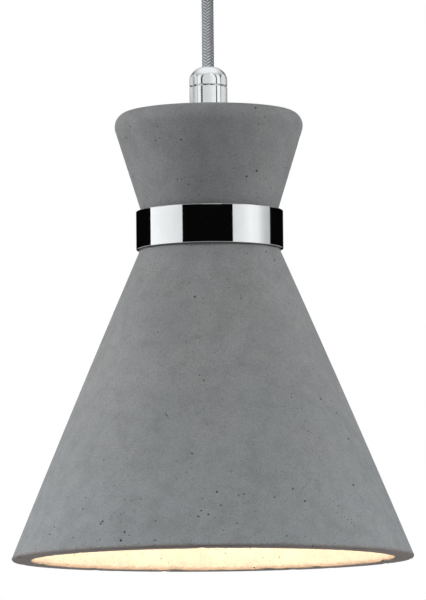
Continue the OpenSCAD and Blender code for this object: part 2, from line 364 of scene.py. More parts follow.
def rounded(corners, steps=4):
    """An outline from corners (x, y, radius), each rounded to its own radius."""
    points = []
    for i, (x, y, radius) in enumerate(corners):
        here = Vector((x, y))
        before = Vector(corners[i - 1][:2]) - here
        after = Vector(corners[(i + 1) % len(corners)][:2]) - here
        if not radius:
            points.append((x, y))
            continue
        half = before.angle(after) / 2
        reach = min(radius / math.tan(half), 0.48 * before.length, 0.48 * after.length)
        middle = (before.normalized() + after.normalized()).normalized() * reach / math.cos(half)
        start = before.normalized() * reach - middle
        end = after.normalized() * reach - middle
        for step in range(steps + 1):
            swung = start.lerp(end, step / steps).normalized() * start.length
            points.append(tuple(here + middle + swung))
    return points


def divided(points, longest):
    """The same line with no stretch longer than longest, which may depend on the radius."""
    fine = []
    for (r0, h0), (r1, h1) in zip(points, points[1:] + points[:1]):
        limit = longest((r0 + r1) / 2)
        count = max(1, round(math.dist((r0, h0), (r1, h1)) / limit))
        fine += [(r0 + (r1 - r0) * i / count, h0 + (h1 - h0) * i / count) for i in range(count)]
    return fine


def eased(node, name, material, width):
    """A CAD node's shape as a piece of its own, with its sharp edges broken."""
    crease = 30
    piece = placed(name, frame["nodes"][node].data.copy())
    shape = bmesh.new()
    shape.from_mesh(piece.data)
    bmesh.ops.remove_doubles(shape, verts=shape.verts, dist=1e-6)
    bmesh.ops.dissolve_limit(shape, angle_limit=math.radians(0.5), verts=shape.verts, edges=shape.edges)
    shape.to_mesh(piece.data)
    shape.free()
    piece.data.materials.clear()
    piece.data.materials.append(material)
    return stand_for(broken_edges(smooth(piece, crease), width, 2, crease), node)


def tube(name, points, radius, material, sides=16, steps=6):
    """A round wire on a smooth curve through points, in metres, with eased ends."""
    knots = [Vector(p) for p in points]
    ends = [knots[0] * 2 - knots[1]] + knots + [knots[-1] * 2 - knots[-2]]
    line = []
    for a, b, c, d in zip(ends, ends[1:], ends[2:], ends[3:]):
        for i in range(steps):
            t = i / steps
            line.append(0.5 * (2 * b + (c - a) * t + (2 * a - 5 * b + 4 * c - d) * t * t
                               + (3 * b - 3 * c + d - a) * t ** 3))
    line.append(knots[-1])
    shape = bmesh.new()
    rings = []
    side = (line[1] - line[0]).orthogonal().normalized()
    for i, spot in enumerate(line):
        heading = (line[min(i + 1, len(line) - 1)] - line[max(i - 1, 0)]).normalized()
        side = (side - heading * side.dot(heading)).normalized()
        lift = heading.cross(side)
        rings.append([shape.verts.new(spot + radius * (side * math.cos(TAU * k / sides)
                                                       + lift * math.sin(TAU * k / sides)))
                      for k in range(sides)])
    skin_rings(shape, rings, closed=False)
    shape.faces.new(rings[0])
    shape.faces.new(rings[-1])
    return new_piece(name, shape, material, 50)


def bored(piece, cutters):
    """Cuts holes through a piece, and takes the cutters away."""
    for cutter in cutters:
        cut = piece.modifiers.new("hole", "BOOLEAN")
        cut.operation = "DIFFERENCE"
        cut.solver = "EXACT"
        cut.object = cutter
    bake_modifiers(piece)
    for cutter in cutters:
        bpy.data.objects.remove(cutter)
    return piece


def stand_for(piece, node):
    """A piece takes the place and the body of a CAD node, and the node is hidden."""
    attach(piece, frame["nodes"][node]["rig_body"])
    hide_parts(node)
    return piece


# --- Finishes ---
def feed(tree, shader, **sockets):
    """Sets or links sockets of the shader by name."""
    for label, value in sockets.items():
        put(tree, shader.inputs[label.replace("_", " ")], value)


def new_material(name, **sockets):
    """A material, its tree and its shader, with sockets of the shader set by name."""
    material = bpy.data.materials.new(name)
    material.use_nodes = True
    tree = material.node_tree
    shader = tree.nodes["Principled BSDF"]
    feed(tree, shader, **sockets)
    return material, tree, shader


def own_coords(tree):
    return add(tree, "ShaderNodeTexCoord").outputs["Object"]


def cloud(tree, coords, size, detail=3.0, roughness=0.5, shift=0.0):
    """Noise whose lumps are about size millimetres across."""
    place = add(tree, "ShaderNodeMapping", {"Vector": coords, "Location": (shift, shift, shift)}).outputs[0]
    node = add(tree, "ShaderNodeTexNoise", {"Vector": place, "Scale": 1 / (size * MM), "Detail": detail,
                                            "Roughness": roughness})
    return Field(tree, node.outputs["Fac"])


def blend_colours(tree, factor, first, second):
    node = add(tree, "ShaderNodeMix", data_type="RGBA")
    for slot, value in ((0, factor), (6, first), (7, second)):
        put(tree, node.inputs[slot], value)
    return node.outputs[2]


def layered(tree, base, *layers):
    """Colours laid over a base one after another, each with its share."""
    for share, colour in layers:
        base = blend_colours(tree, share, base, colour)
    return base


def bump(tree, height, depth, strength=1.0, under=None):
    """A normal from a height field. depth is in millimetres."""
    node = add(tree, "ShaderNodeBump", {"Height": height, "Distance": depth * MM, "Strength": strength})
    if under is not None:
        put(tree, node.inputs["Normal"], under)
    return node.outputs[0]


def display_colour(*channels):
    """A colour from its 8-bit display levels."""
    def linear(v):
        v = min(max(v / 255, 0), 1)
        return v / 12.92 if v <= 0.04045 else ((v + 0.055) / 1.055) ** 2.4
    return (*(linear(v) for v in channels), 1.0)


def grey(level, warm=0.0):
    """A grey, a little warmer or cooler."""
    return display_colour(level + warm, level, level - warm)


def stone(level, warm=0.0):
    """A cement grey, which leans to green where it is cooler."""
    return display_colour(level + warm, level, level - warm * 0.45)


def concrete(name, light, pinholes=0.8):
    """Cast concrete: soft clouds, close stipple and pinholes whose darkness is painted shade, and a rim that
    is browner at its edge.
    """
    material, tree, shader = new_material(name, Specular_IOR_Level=0.35)
    coords = own_coords(tree)
    height = (xyz(tree, coords)[2] - RIM_Z) / MM
    wide = cloud(tree, coords, 45, 3, 0.55)
    drift = cloud(tree, coords, 30, 2, 0.5, 3.0)
    patch = cloud(tree, coords, 8, 4, 0.62, 7.0)
    grain = cloud(tree, coords, 1.1, 3, 0.7, 11.0)
    specks = cloud(tree, coords, 0.55, 1, 0.5, 23.0)
    # Pinholes too small to be cut: round dots of painted shade in some of the cells, in loose clusters
    cells = add(tree, "ShaderNodeTexVoronoi", {"Vector": coords, "Scale": 1 / (1.7 * MM)})
    chance = xyz(tree, cells.outputs["Color"])[0]
    cluster = cloud(tree, coords, 19, 2, 0.5, 17.0)
    near = Field(tree, cells.outputs["Distance"]).ranged(0.12, 0.24, 1.0, 0.0)
    dots = near * chance.ranged(0.5, 0.8) * cluster.ranged(0.47, 0.6)
    # The cast edge at the rim ends in an uneven line
    uneven = cloud(tree, coords, 1.7, 3, 0.65, 29.0)
    edge = (height - uneven * 3.2).ranged(-0.6, 0.9, 0.9, 0.0)
    clouds = blend_colours(tree, wide.ranged(0.32, 0.68), stone(light - 8, -2.6), stone(light + 4, -1.6))
    colour = layered(
        tree, clouds,
        (drift.ranged(0.46, 0.7, 0.0, 0.7), stone(light - 4, 0.8)),
        (height.ranged(15, 95, 0.5, 0.0), stone(light + 2, -7.0)),
        (patch.ranged(0.38, 0.72, 0.0, 0.5), stone(light - 22, -2.0)),
        (grain.ranged(0.34, 0.7, 0.0, 0.44), stone(light - 30, -1.0)),
        (specks.ranged(0.5, 0.72, 0.0, 0.3), stone(light + 24, -1.0)),
        # painted shade inside the pinholes
        (dots * pinholes, stone(light - 84)),
        (edge, stone(light - 34, 7.0)),
        (height.ranged(0.05, 0.5, 0.9, 0.0), stone(light + 2, 7.0)))
    relief = bump(tree, patch, 0.3, 0.4)
    relief = bump(tree, grain, 0.09, 0.8, relief)
    relief = bump(tree, dots, -0.3, 1.0, relief)
    feed(tree, shader, Base_Color=colour, Roughness=patch.ranged(0.3, 0.7, 0.78, 0.92), Normal=relief)
    return material


def polished(name, level, rough, warm=0.0):
    """Plated or turned metal with a trace of haze and hairline marks."""
    material, tree, shader = new_material(name, Metallic=1.0)
    coords = own_coords(tree)
    haze = cloud(tree, coords, 14, 4, 0.6)
    marks = cloud(tree, coords, 0.6, 2, 0.5)
    feed(tree, shader,
         Base_Color=blend_colours(tree, haze.ranged(0.35, 0.7), grey(level, warm), grey(level - 5, warm)),
         Roughness=haze.ranged(0.3, 0.75, rough, rough * 1.6 + 0.01),
         Normal=bump(tree, marks, 0.004, 0.3))
    return material


def moulded(name, red, green, blue, rough, grain=0.02, coat=0.0):
    """Moulded plastic, rubber or ceramic with a fine grain and slight shade changes."""
    material, tree, shader = new_material(name, Coat_Weight=coat)
    coords = own_coords(tree)
    shade = cloud(tree, coords, 12, 3)
    fine_grain = cloud(tree, coords, 0.35, 2)
    colour = (red, green, blue, 1.0)
    darker = (red * 0.86, green * 0.86, blue * 0.86, 1.0)
    feed(tree, shader,
         Base_Color=blend_colours(tree, shade.ranged(0.35, 0.7), colour, darker),
         Roughness=shade.ranged(0.3, 0.7, rough, rough + 0.08),
         Normal=bump(tree, fine_grain, grain, 0.5))
    return material


def braid_yarn(name):
    """Matt grey textile yarn: each carrier is a flat bundle of ends, with a painted highlight on its crowns
    and painted shade where it dips and along its edges.
    """
    material, tree, shader = new_material(name, Roughness=0.88, Specular_IOR_Level=0.2, Sheen_Weight=0.04)
    yarn = add(tree, "ShaderNodeAttribute", attribute_name="yarn").outputs["Vector"]
    across, _, height = xyz(tree, yarn)
    ends = (across * TAU * 2).cos() * 0.5 + 0.5
    fibre = cloud(tree, own_coords(tree), 0.16, 3, 0.6)
    wear = cloud(tree, own_coords(tree), 2.4, 2, 0.5)
    # Painted light and shade: dark in the dips, light on the crowns, and darker at each carrier's edges where
    # it meets its neighbours
    colour = layered(
        tree, blend_colours(tree, height.ranged(-0.8, 0.9), grey(40, -2.5), grey(222, -4.0)),
        (across.math("ABSOLUTE").ranged(0.55, 0.95, 0.0, 0.95), grey(30, -2.0)),
        (ends * 0.22, grey(120, -2.0)),
        (wear.ranged(0.35, 0.68, 0.0, 0.3), grey(128, -2.0)),
        (fibre.ranged(0.35, 0.7, 0.0, 0.2), grey(215, -1.0)))
    relief = bump(tree, ends, 0.07, 0.8)
    feed(tree, shader, Base_Color=colour, Normal=bump(tree, fibre, 0.03, 0.7, relief))
    return material


def clear_glass(name, tint, rough):
    """Blown or pressed glass, with the faint waves of drawn glass."""
    material, tree, shader = new_material(name, Roughness=rough, IOR=1.47, Transmission_Weight=1.0)
    waves = cloud(tree, own_coords(tree), 16, 2)
    feed(tree, shader, Base_Color=blend_colours(tree, waves, tint, (1, 1, 1, 1)),
         Normal=bump(tree, waves, 0.1, 0.15))
    return material


def glowing(name, colour, strength):
    """A lit filament strip: yellow phosphor in fine beads along its length."""
    material, tree, shader = new_material(name, Roughness=0.5, Emission_Strength=strength)
    beads = cloud(tree, own_coords(tree), 0.7, 2)
    base = blend_colours(tree, beads.ranged(0.3, 0.7), colour, (1.0, 0.86, 0.55, 1.0))
    feed(tree, shader, Base_Color=base, Emission_Color=base)
    return material


CONCRETE = concrete("cast_concrete", 149)
# A darker concrete for the walls of the cut pores: painted shade for their depth
PORE_SHADE = concrete("pore_wall_painted_shade", 84, 0.0)
CHROME = polished("polished_chrome", 238, 0.03)
SATIN_CHROME = polished("grip_chrome", 240, 0.08)
BRUSHED_CHROME = polished("cup_chrome", 228, 0.24)
ZINC = polished("zinc_plate", 196, 0.3)
NICKEL = polished("nickel_screw", 190, 0.25)
BRASS = polished("turned_brass", 176, 0.22, 34)
ALUMINIUM = polished("bulb_cap_metal", 205, 0.22)
COPPER = polished("bare_copper", 160, 0.3, 40)
BRAID = braid_yarn("grey_braid_painted_light_and_shade")
CORE_SHEATH = moulded("cord_sheath", 0.10, 0.10, 0.11, 0.7)
BROWN = moulded("core_brown_sheath", 0.16, 0.07, 0.03, 0.45)
BLUE = moulded("core_blue_sheath", 0.03, 0.12, 0.42, 0.45)
RUBBER = moulded("black_rubber", 0.02, 0.02, 0.02, 0.75, 0.03)
FOAM = moulded("tape_foam", 0.7, 0.7, 0.68, 0.9, 0.06)
TERMINAL = moulded("terminal_nylon", 0.74, 0.73, 0.7, 0.4)
HOLDER = moulded("holder_thermoset", 0.72, 0.69, 0.62, 0.3, 0.015, 0.2)
CERAMIC = moulded("holder_steatite", 0.76, 0.75, 0.7, 0.25, 0.02, 0.4)
BLACK_GLASS = moulded("bulb_black_glass", 0.012, 0.012, 0.016, 0.08, 0.01, 0.6)
BULB_GLASS = clear_glass("bulb_glass", (1.0, 0.97, 0.92, 1), 0.02)
STEM_GLASS = clear_glass("stem_glass", (0.95, 0.98, 1.0, 1), 0.05)
FILAMENT = glowing("lit_filament", (1.0, 0.6, 0.22, 1), 12.0)


# --- Camera ---
def make_camera():
    """A long lens from in front and a little below, turned a trace round its own axis."""
    pitch = math.radians(5.56)
    roll = math.radians(-0.57)
    distance = 3.64
    aim = Vector((1.3 * MM, 0, RIM_Z + 129.7 * MM))
    forward = Vector((0, math.cos(pitch), math.sin(pitch)))
    camera = placed("camera", bpy.data.cameras.new("camera"))
    camera.data.lens = 438
    camera.data.sensor_width = 36
    camera.location = aim - forward * distance
    camera.rotation_mode = "QUATERNION"
    camera.rotation_quaternion = forward.to_track_quat("-Z", "Y") @ Quaternion((0, 0, 1), roll)
    bpy.context.scene.camera = camera


make_camera()


# --- Cord: a tubular braid over a sheath, grown along the light's axis ---
def braid_tree():
    """Carriers that wind both ways and pass over two and under two, as upright columns of chevrons."""
    tree, _, size = geometry_tree("tubular_braid", Length=43.0, Base=0.0, Rings=240, Carriers=CARRIERS,
                                  Lay=LAY, Middle=2.64, Lift=0.22, Width=1.04, Thickness=0.36)
    strand = add(tree, "GeometryNodeMeshCylinder", {"Vertices": 8, "Side Segments": size["Rings"],
                                                    "Radius": 1.0, "Depth": 1.0}, fill_type="NGON")
    line = add(tree, "GeometryNodeMeshLine", {"Count": size["Carriers"] * 2, "Offset": (0.0, 0.0, 0.0)})
    index = add(tree, "GeometryNodeInputIndex")
    marked = add(tree, "GeometryNodeStoreNamedAttribute", {"Geometry": line.outputs[0], "Name": "carrier"},
                 data_type="FLOAT", domain="POINT")
    put(tree, marked.inputs["Value"], index.outputs[0])
    copies = add(tree, "GeometryNodeInstanceOnPoints",
                 {"Points": marked.outputs[0], "Instance": strand.outputs[0]})
    real = add(tree, "GeometryNodeRealizeInstances", {"Geometry": copies.outputs[0]})
    carrier = Field(tree, add(tree, "GeometryNodeInputNamedAttribute", {"Name": "carrier"},
                              data_type="FLOAT").outputs["Attribute"])
    side_x, side_y, depth = xyz(tree, add(tree, "GeometryNodeInputPosition").outputs[0])
    along = (depth + 0.5) * size["Length"] + size["Base"]
    left = carrier.math("MODULO", 2.0)
    turn = left * -2.0 + 1.0
    number = (carrier - left) * 0.5
    winds = along / size["Lay"]
    angle = turn * winds * TAU + number / size["Carriers"] * TAU
    crossing = winds * size["Carriers"] * 2.0
    over = ((crossing * turn + number * 2.0 - 0.5 - left * 2.0) * (TAU / 4)).cos()
    wave = (over * 1.7).clamped(-1.0, 1.0)
    radius = size["Middle"] + size["Lift"] * wave + size["Thickness"] * 0.5 * side_y
    slope = size["Middle"] * TAU / size["Lay"]
    stretch = (slope * slope + 1.0).math("SQRT")
    reach = size["Width"] * 0.5 * side_x
    round_part = reach / stretch
    up_part = reach * slope / stretch * turn * -1.0
    cosine = angle.cos()
    sine = angle.sin()
    place = vector(tree, (cosine * radius - sine * round_part) * MM,
                   (sine * radius + cosine * round_part) * MM, (along + up_part) * MM)
    # The place across each carrier and its wave are kept for the yarn's painted light and shade
    noted = add(tree, "GeometryNodeStoreNamedAttribute", {"Geometry": real.outputs[0], "Name": "yarn"},
                data_type="FLOAT_VECTOR", domain="POINT")
    put(tree, noted.inputs["Value"], vector(tree, side_x, along, wave))
    moved = add(tree, "GeometryNodeSetPosition", {"Geometry": noted.outputs[0], "Position": place})
    rounded_off = add(tree, "GeometryNodeSetShadeSmooth", {"Geometry": moved.outputs[0]})
    return close_tree(tree, rounded_off.outputs[0], BRAID)


BRAID_TREE = braid_tree()


def cord_length(name, node):
    """One length of the cord: its braid, and the sheath that the braid covers."""
    low, high = span(node)
    trim = 0.6 * MM
    shape = bmesh.new()
    bmesh.ops.create_vert(shape, co=(0, 0, 0))
    braid = new_piece(name, shape)
    length = high - low - 2 * trim
    rings = max(10, round(length / MM * 5))
    grow(braid, BRAID_TREE, Length=length / MM, Base=(low + trim) / MM, Rings=rings)
    height = (high - low) / MM
    section = [(0, 0), (SHEATH_R, 0), (SHEATH_R, height), (0, height)]
    sheath = lathe(name + "_sheath", section, low, CORE_SHEATH, 32)
    return stand_for(joined(name, braid, sheath), node)


hanging_cord = cord_length("hanging_cord", "cord")
hanging_cord.visible_glossy = False
throat_cord = cord_length("cord_in_throat", "cord_stub")
cord_length("cord_in_ceiling_grip", "cord_head")
cord_length("cord_in_shade", "cord_tail")


# --- Shade: one cast piece, with pores cut into it ---
def shade_outline():
    """The section of the shade, from the outer rim up the outside, over the top and down the bore."""
    slope = (RIM_R - NECK_LOW) / BAND_LOW
    edge_r = TOP_R - TOP_EDGE
    flare_x = edge_r + TOP_EDGE * math.cos(FLARE)
    flare_h = SHADE_H - TOP_EDGE - TOP_EDGE * math.sin(FLARE)
    neck_high = flare_x - (flare_h - BAND_HIGH) * math.tan(FLARE)
    lean = math.degrees(math.atan(slope))
    cone = []
    for i in range(1, 11):
        t = i / 10
        cone.append((RIM_R + (NECK_LOW - RIM_R) * t + 4 * SWELL * t * (1 - t),
                     RIM_ROUND * (1 - t) + BAND_LOW * t))
    outline = arc(RIM_R - RIM_ROUND, RIM_ROUND, RIM_ROUND, -90, 0, 4) + cone
    step = 0.6
    outline += [(SEAT_R, BAND_LOW + step), (SEAT_R, BAND_HIGH - step), (neck_high, BAND_HIGH)]
    outline += arc(edge_r, SHADE_H - TOP_EDGE, TOP_EDGE, -math.degrees(FLARE), 90, 14)
    outline += [(TUBE_HOLE, SHADE_H), (TUBE_HOLE, BORE_HIGH)]
    corner = 3
    outline += arc(BORE_R - corner, BORE_HIGH - corner, corner, 90, 0, 4)
    outline += [(BORE_R, (RIM_R - WALL - BORE_R) / slope)]
    outline += arc(RIM_R - WALL + RIM_ROUND, RIM_ROUND, RIM_ROUND, 180 + lean, 270, 4)
    return outline


def pore_tree():
    """Air pores: dents scattered in loose clusters and closer together near the rim, cut from the casting,
    with painted shade on their walls.
    """
    tree, casting, size = geometry_tree("air_pores", Spacing=1.05, Density=200000.0, Smallest=0.19,
                                        Largest=0.54, Seed=7)
    place = add(tree, "GeometryNodeInputPosition").outputs[0]
    x, y, z = xyz(tree, place)
    height = z - RIM_Z
    noise_node = add(tree, "ShaderNodeTexNoise", {"Vector": place, "Scale": 52.0, "Detail": 2.0})
    lumps = Field(tree, noise_node.outputs[0])
    low_down = height.ranged(0.0, 50 * MM, 0.32, 0.0)
    at_rim = height.ranged(1.0 * MM, 4.0 * MM, 0.5, 0.0)
    chance = lumps.ranged(0.53, 0.66) * 0.55 + low_down * lumps.ranged(0.42, 0.6) + at_rim + 0.008
    # Fewer pores on the walls that face the axis
    across, along, _ = xyz(tree, add(tree, "GeometryNodeInputNormal").outputs[0])
    chance = chance.clamped(0.0, 1.0) * (x * across + y * along).ranged(-0.001, 0.001, 0.28, 0.78)
    spots = add(tree, "GeometryNodeDistributePointsOnFaces",
                {"Mesh": casting, "Distance Min": size["Spacing"] * MM, "Density Max": size["Density"],
                 "Density Factor": chance, "Seed": size["Seed"]}, distribute_method="POISSON")
    drawn = Field(tree, add(tree, "FunctionNodeRandomValue", {"Seed": 3}, data_type="FLOAT").outputs[1])
    reach = (size["Smallest"] + (size["Largest"] - size["Smallest"]) * drawn.math("POWER", 11.0)) * MM
    squash = Field(tree, add(tree, "FunctionNodeRandomValue", {"Seed": 5, 2: 0.75, 3: 1.3},
                             data_type="FLOAT").outputs[1])
    scale = vector(tree, reach * squash, reach, reach * 1.5)
    wide = reach.math("GREATER_THAN", 0.27 * MM)
    join = tree.nodes.new("GeometryNodeJoinGeometry")
    for chosen, facets in ((wide, 2), (wide * -1.0 + 1.0, 1)):
        ball = add(tree, "GeometryNodeMeshIcoSphere", {"Radius": 1.0, "Subdivisions": facets})
        # The dents carry the darker concrete into the pore walls as painted shade
        dark = add(tree, "GeometryNodeSetMaterial", {"Geometry": ball.outputs[0], "Material": PORE_SHADE})
        dents = add(tree, "GeometryNodeInstanceOnPoints",
                    {"Points": spots.outputs["Points"], "Selection": chosen, "Instance": dark.outputs[0],
                     "Rotation": spots.outputs["Rotation"], "Scale": scale})
        tree.links.new(dents.outputs[0], join.inputs[0])
    real = add(tree, "GeometryNodeRealizeInstances", {"Geometry": join.outputs[0]})
    cut = add(tree, "GeometryNodeMeshBoolean", {"Mesh 1": casting, "Mesh 2": real.outputs[0]},
              operation="DIFFERENCE", solver="MANIFOLD")
    return close_tree(tree, cut.outputs[0])


def push_out(vertex, distance):
    """Moves a vertex away from the axis, or towards it where the distance is below nought."""
    out = vertex.co.to_2d().normalized() * distance
    vertex.co.x += out.x
    vertex.co.y += out.y


def roughen_rim(piece, upto=1.45, waver=0.22, chip=1.5):
    """Leaves the cast rim a little uneven, with small chips out of its lower edges."""
    for vertex in piece.data.vertices:
        if (vertex.co.z - RIM_Z) / MM < upto:
            ripple = noise.noise(vertex.co / (1.7 * MM))
            lump = noise.noise(vertex.co / (3.5 * MM) + Vector((5, 5, 5)))
            push_out(vertex, min(0.0, ripple) * waver * MM)
            vertex.co.z += max(0.0, ripple * 0.5 + lump - 0.3) * chip * MM


def knock(piece, spot, reach, depth):
    """A small dent where an edge has been knocked: points near the spot go in towards the axis."""
    for vertex in piece.data.vertices:
        near = 1 - (vertex.co - spot).length / (reach * MM)
        if near > 0:
            push_out(vertex, -min(1.0, near * 1.8) * depth * MM)


def make_shade():
    """The casting: turned, roughened at its rim, knocked once at its top edge, and full of air pores."""
    sides = 224
    crease = 28
    outline = divided(shade_outline(), lambda r: max(1.6, TAU * r / sides * 2.4))
    shade = lathe("cast_shade", outline, RIM_Z, CONCRETE, sides, crease=crease)
    roughen_rim(shade)
    knock(shade, Vector(KNOCK_AT) * MM + Vector((0, 0, RIM_Z)), 3.6, 1.1)
    grow(shade, pore_tree())
    stand_for(smooth(shade, crease), "shade")


make_shade()


# --- Waist band: a rolled strip with its seam at the back ---
def make_band():
    """The strip starts and ends at its seam, which is at the back."""
    edge = 0.35
    sides = 256
    inner = BAND_R - BAND_T
    section = rounded([(inner, BAND_LOW, edge), (BAND_R, BAND_LOW, edge), (BAND_R, BAND_HIGH, edge),
                       (inner, BAND_HIGH, edge)], 5)
    half_seam = math.asin(BAND_SEAM / 2 / BAND_R)
    start = TAU / 4 + half_seam
    sweep = TAU - 2 * half_seam
    shape = bmesh.new()
    stations = []
    for i in range(sides + 1):
        a = start + sweep * i / sides
        stations.append([shape.verts.new((r * MM * math.cos(a), r * MM * math.sin(a), RIM_Z + h * MM))
                         for r, h in section])
    skin_rings(shape, stations, closed=False)
    shape.faces.new(stations[0])
    shape.faces.new(list(reversed(stations[-1])))
    stand_for(even_shading(new_piece("rolled_band", shape, CHROME, 50)), "waist_band")


make_band()


# --- Cord grips: hexagonal bodies and domed nuts ---
def hex_ring(shape, r, z, steps=8, crown=0.005):
    """A circle of radius r cut by six flats, with the same number of points whatever the radius.

    The flats are crowned by a hair's breadth, as polishing leaves them.
    """
    half = GRIP_FLATS / 2
    reach = math.acos(half / r) if r > half else 0.0
    ring = []
    for k in range(6):
        middle = GRIP_TURN + TAU * k / 6 - TAU / 4
        for i in range(steps):
            a = -reach + 2 * reach * i / steps
            bulge = 1 + crown * (1 - (a / reach) ** 2) if reach else 1
            ring.append((half / math.cos(a) * bulge if reach else r, middle + a))
        for i in range(steps):
            ring.append((r, middle + reach + (TAU / 6 - 2 * reach) * i / steps))
    return round_the_axis(shape, ring, z)


def hex_turned(name, outline, base, down):
    """A turned piece milled to six flats wherever it is wider than they are."""
    crease = 11
    shape = bmesh.new()
    sign = -1 if down else 1
    skin_rings(shape, [hex_ring(shape, r, base + sign * h * MM) for r, h in outline])
    bmesh.ops.remove_doubles(shape, verts=shape.verts, dist=1e-7)
    return broken_edges(new_piece(name, shape, SATIN_CHROME, crease), 0.2, 3, crease)


def make_grip(prefix, base, down, body_node, nut_node):
    """A cord grip on its seat: outlines are (radius, height above the seat)."""
    recess = INSERT_R + 0.1
    thread = SPIGOT_R + 0.2
    thread_top = 17.2
    body = [(THREAD_R, 0), (GRIP_R, 0), (GRIP_R, BODY_H), (SPIGOT_R, BODY_H), (SPIGOT_R, SPIGOT_TOP),
            (recess, SPIGOT_TOP), (recess, THREAD_DEPTH), (THREAD_R, THREAD_DEPTH)]
    stand_for(hex_turned(prefix + "_hex_body", body, base, down), body_node)
    dome_x = GRIP_R - DOME_R
    lip = math.degrees(math.acos((LIP_R - dome_x) / DOME_R))
    dome_h = GRIP_H - DOME_R * math.sin(math.radians(lip))
    arch = math.degrees(math.acos((GRIP_FLATS / 2 - dome_x) / DOME_R))
    nut = [(thread, NUT_LOW), (GRIP_R, NUT_LOW)]
    nut += arc(dome_x, dome_h, DOME_R, 0, arch, 8) + arc(dome_x, dome_h, DOME_R, arch, lip, 10)[1:]
    nut += [(MOUTH_R, GRIP_H - 1.5), (MOUTH_R, GRIP_H - 2.5), (INSERT_R + 0.5, thread_top),
            (thread, thread_top)]
    stand_for(hex_turned(prefix + "_dome_nut", nut, base, down), nut_node)


make_grip("shade", GRIP_SEAT, False, "grip_body", "grip_nut")
make_grip("ceiling", CEILING_SEAT, True, "ceiling_grip_body", "ceiling_grip_nut")


# --- Threads and flutes: one tree for whatever winds or repeats round the axis ---
def flute_tree():
    """Moves the wall between two radii and two heights in and out, as a thread or as upright flutes do."""
    tree, blank, size = geometry_tree("flutes", Count=1, Rise=1.0, Depth=0.2, Low=0.0, High=10.0, Inside=0.0,
                                      Outside=99.0, Run=0.6)
    x, y, z = xyz(tree, add(tree, "GeometryNodeInputPosition").outputs[0])
    radius = (x * x + y * y).math("SQRT")
    phase = y.math("ARCTAN2", x) * size["Count"] - z / MM * size["Rise"] * TAU
    up = (z / MM - size["Low"]) / size["Run"]
    down = (size["High"] - z / MM) / size["Run"]
    fade = up.clamped(0.0, 1.0) * down.clamped(0.0, 1.0)
    inside = (radius / MM).math("GREATER_THAN", size["Inside"])
    outside = (radius / MM).math("LESS_THAN", size["Outside"])
    push = (phase.cos() * 0.5 - 0.5) * size["Depth"] * fade * inside * outside * MM / radius
    moved = add(tree, "GeometryNodeSetPosition",
                {"Geometry": blank, "Offset": vector(tree, x * push, y * push, 0.0)})
    return close_tree(tree, moved.outputs[0])


FLUTES = flute_tree()


def fine(outline, low, high, step):
    """An outline with short steps wherever it runs up a wall between two heights."""
    line = []
    for (r0, h0), (r1, h1) in zip(outline, outline[1:] + outline[:1]):
        line.append((r0, h0))
        wall = abs(r1 - r0) < 1e-6 and min(h0, h1) < high and max(h0, h1) > low
        count = round(abs(h1 - h0) / step) if wall else 1
        line += [(r0, h0 + (h1 - h0) * i / count) for i in range(1, count)]
    return line


def threaded(name, node):
    """A metric tube, threaded from end to end."""
    low, high = span(node)
    length = (high - low) / MM
    edge = 0.35
    inset = TUBE_R - edge
    outline = fine([(TUBE_BORE, 0), (inset, 0), (TUBE_R, edge), (TUBE_R, length - edge), (inset, length),
                    (TUBE_BORE, length)], edge, length - edge, METRIC_PITCH / 8)
    piece = lathe(name, outline, low, ZINC, 40)
    grow(piece, FLUTES, Rise=1 / METRIC_PITCH, Depth=0.55, Low=low / MM + edge, High=high / MM - edge,
         Inside=TUBE_R - 0.1)
    stand_for(smooth(piece, 60), node)


def ring_piece(name, node, material, bore=WASHER_BORE, radius=WASHER_R, edge=0.2):
    """A flat washer with eased edges, in the place of its CAD node."""
    low, high = span(node)
    height = (high - low) / MM
    edge = min(edge, height * 0.45)
    outline = rounded([(bore, 0, edge / 2), (radius, 0, edge), (radius, height, edge),
                       (bore, height, edge / 2)], 3)
    stand_for(even_shading(lathe(name, outline, low, material, 64, crease=50)), node)


# --- Ceiling fitting ---
def make_canopy():
    """The cup, with a hole for the cord's grip and one for each side screw."""
    wall = 1.0
    corner = 4.0
    hole = 5.2
    lip = 0.25
    screw_z = -8.0
    screw_r = 2.2
    outline = [(hole, 0)] + arc(CUP_R - corner, corner, corner, -90, 0, 14)
    outline += arc(CUP_R - lip, CUP_H - lip, lip, 0, 90, 3)
    outline += arc(CUP_R - wall + lip, CUP_H - lip, lip, 90, 180, 3)
    outline += arc(CUP_R - corner, corner, corner - wall, 0, -90, 10) + [(hole, wall)]
    cup = lathe("ceiling_cup", outline, -CUP_H * MM, BRUSHED_CHROME, 160)
    cutters = []
    for side in (-1, 1):
        shape = bmesh.new()
        place = (Matrix.Translation((side * CUP_R * MM, 0, screw_z * MM))
                 @ Matrix.Rotation(math.pi / 2, 4, "Y"))
        bmesh.ops.create_cone(shape, cap_ends=True, segments=40, radius1=screw_r * MM, radius2=screw_r * MM,
                              depth=12 * MM, matrix=place)
        cutters.append(new_piece("screw_hole", shape))
    bored(cup, cutters)
    stand_for(even_shading(smooth(cup, 40)), "canopy")


def make_insert(name, node, base, down):
    """A rubber sleeve that the nut squeezes on to the cord, with a bevelled nose."""
    low, high, shoulder = 8.3, SPIGOT_TOP, 15.8
    outline = rounded([(INSERT_BORE, low, 0.2), (INSERT_R, low, 0.3), (INSERT_R, shoulder, 0.4),
                       (4.4, high, 0.2), (INSERT_BORE, high, 0.2)], 3)
    stand_for(lathe(name, outline, base, RUBBER, 48, down=down), node)


